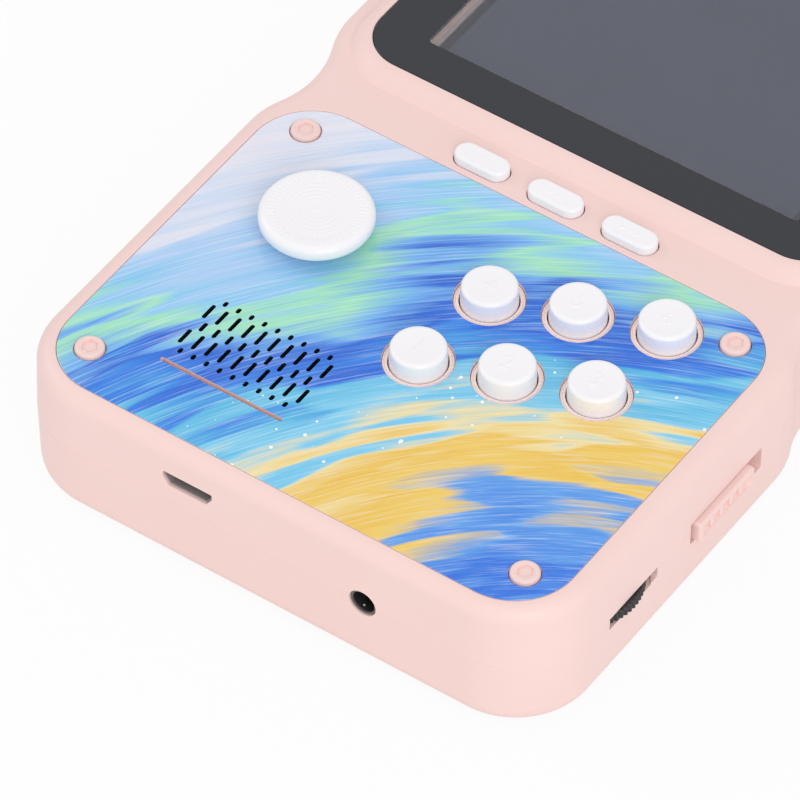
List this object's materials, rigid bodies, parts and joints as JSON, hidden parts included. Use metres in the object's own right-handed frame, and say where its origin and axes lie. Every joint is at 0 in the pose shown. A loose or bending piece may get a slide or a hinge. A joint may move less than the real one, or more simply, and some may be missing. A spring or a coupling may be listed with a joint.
{
  "type": "handheld game console",
  "caption": "Handheld game console with a waisted body, thumb disc, round keys and a colour display behind a dark window.",
  "frame": {"origin": "on the flat back face, midway across and along the body", "axes": "+X across the console to the power knob's side, +Y from the charging end to the screen end, +Z out of the front"},
  "size_m": [0.0911, 0.1436, 0.0272],
  "materials": {
    "shell": "fine satin moulding, pale pink",
    "key": "moulded white, soft gloss",
    "printed_plate": "glossy plate with a painted print",
    "window": "clear with a dark printed border",
    "display_bezel": "grey moulded frame",
    "display_glass": "dark grey polariser",
    "foam": "black foam",
    "flex": "amber film",
    "board": "green solder mask",
    "black_plastic": "black moulding",
    "silicone": "translucent grey silicone",
    "steel": "plain steel",
    "battery": "blue wrapped cell",
    "contact_brass": "gilt spring contacts"
  },
  "bodies": {
    "console": {"front_shell": "shell", "back_shell": "shell", "control_plate": "printed_plate", "plate_screws": "shell", "case_screws": "steel", "window_lens": "window", "display_frame": "display_bezel", "display_panel": "display_glass", "display_pads": "foam", "display_ribbon": "flex", "ribbon_connector": "black_plastic", "main_board": "board", "board_chips": "black_plastic", "key_pad": "silicone", "menu_pad": "silicone", "rocker_pad": "silicone", "speaker": "black_plastic", "speaker_gasket": "foam", "usb_socket": "steel", "audio_jack": "black_plastic", "volume_pot": "black_plastic", "power_switch": "steel", "battery": "battery", "battery_contacts": "contact_brass"},
    "rocker_pivot": {"rocker_ball": "steel"},
    "rocker": {"thumb_disc": "key", "rocker_base": "key"},
    "volume_wheel": {"volume_wheel": "black_plastic"},
    "power_slider": {"power_knob": "shell", "switch_lever": "black_plastic"},
    "battery_cover": {"battery_cover": "shell"},
    "key_1": {"key_1": "key"},
    "key_2": {"key_2": "key"},
    "key_3": {"key_3": "key"},
    "key_4": {"key_4": "key"},
    "key_5": {"key_5": "key"},
    "key_6": {"key_6": "key"},
    "menu_key_1": {"menu_key_1": "key"},
    "menu_key_2": {"menu_key_2": "key"},
    "menu_key_3": {"menu_key_3": "key"}
  },
  "joints": [
    {"name": "key_1_press", "type": "slide", "parent": "console", "child": "key_1", "axis": [0, 0, -1], "range_m": [0, 0.0013], "stiffness_N_per_m": 400, "deforming": ["key_pad"]},
    {"name": "key_2_press", "type": "slide", "parent": "console", "child": "key_2", "axis": [0, 0, -1], "range_m": [0, 0.0013], "stiffness_N_per_m": 400, "deforming": ["key_pad"]},
    {"name": "key_3_press", "type": "slide", "parent": "console", "child": "key_3", "axis": [0, 0, -1], "range_m": [0, 0.0013], "stiffness_N_per_m": 400, "deforming": ["key_pad"]},
    {"name": "key_4_press", "type": "slide", "parent": "console", "child": "key_4", "axis": [0, 0, -1], "range_m": [0, 0.0013], "stiffness_N_per_m": 400, "deforming": ["key_pad"]},
    {"name": "key_5_press", "type": "slide", "parent": "console", "child": "key_5", "axis": [0, 0, -1], "range_m": [0, 0.0013], "stiffness_N_per_m": 400, "deforming": ["key_pad"]},
    {"name": "key_6_press", "type": "slide", "parent": "console", "child": "key_6", "axis": [0, 0, -1], "range_m": [0, 0.0013], "stiffness_N_per_m": 400, "deforming": ["key_pad"]},
    {"name": "menu_key_1_press", "type": "slide", "parent": "console", "child": "menu_key_1", "axis": [0, 0, -1], "range_m": [0, 0.0007], "stiffness_N_per_m": 600, "deforming": ["menu_pad"]},
    {"name": "menu_key_2_press", "type": "slide", "parent": "console", "child": "menu_key_2", "axis": [0, 0, -1], "range_m": [0, 0.0007], "stiffness_N_per_m": 600, "deforming": ["menu_pad"]},
    {"name": "menu_key_3_press", "type": "slide", "parent": "console", "child": "menu_key_3", "axis": [0, 0, -1], "range_m": [0, 0.0007], "stiffness_N_per_m": 600, "deforming": ["menu_pad"]},
    {"name": "rocker_tilt_x", "type": "hinge", "parent": "console", "child": "rocker_pivot", "pos_m": [-0.02353, -0.02656, 0.0174], "axis": [1, 0, 0], "range_deg": [-8, 8], "stiffness_Nm_per_rad": 0.03, "deforming": ["rocker_pad"]},
    {"name": "rocker_tilt_y", "type": "hinge", "parent": "rocker_pivot", "child": "rocker", "pos_m": [-0.02353, -0.02656, 0.0174], "axis": [0, 1, 0], "range_deg": [-8, 8], "stiffness_Nm_per_rad": 0.03, "deforming": ["rocker_pad"]},
    {"name": "volume_turn", "type": "hinge", "parent": "console", "child": "volume_wheel", "pos_m": [0.0368, -0.0502, 0.0113], "axis": [0, 0, 1], "range_deg": [-140, 140]},
    {"name": "power_slide", "type": "slide", "parent": "console", "child": "power_slider", "axis": [0, 1, 0], "range_m": [0, 0.002]},
    {"name": "cover_lift", "type": "hinge", "parent": "console", "child": "battery_cover", "pos_m": [0, -0.0012, 0], "axis": [1, 0, 0], "range_deg": [0, 40]}
  ]
}
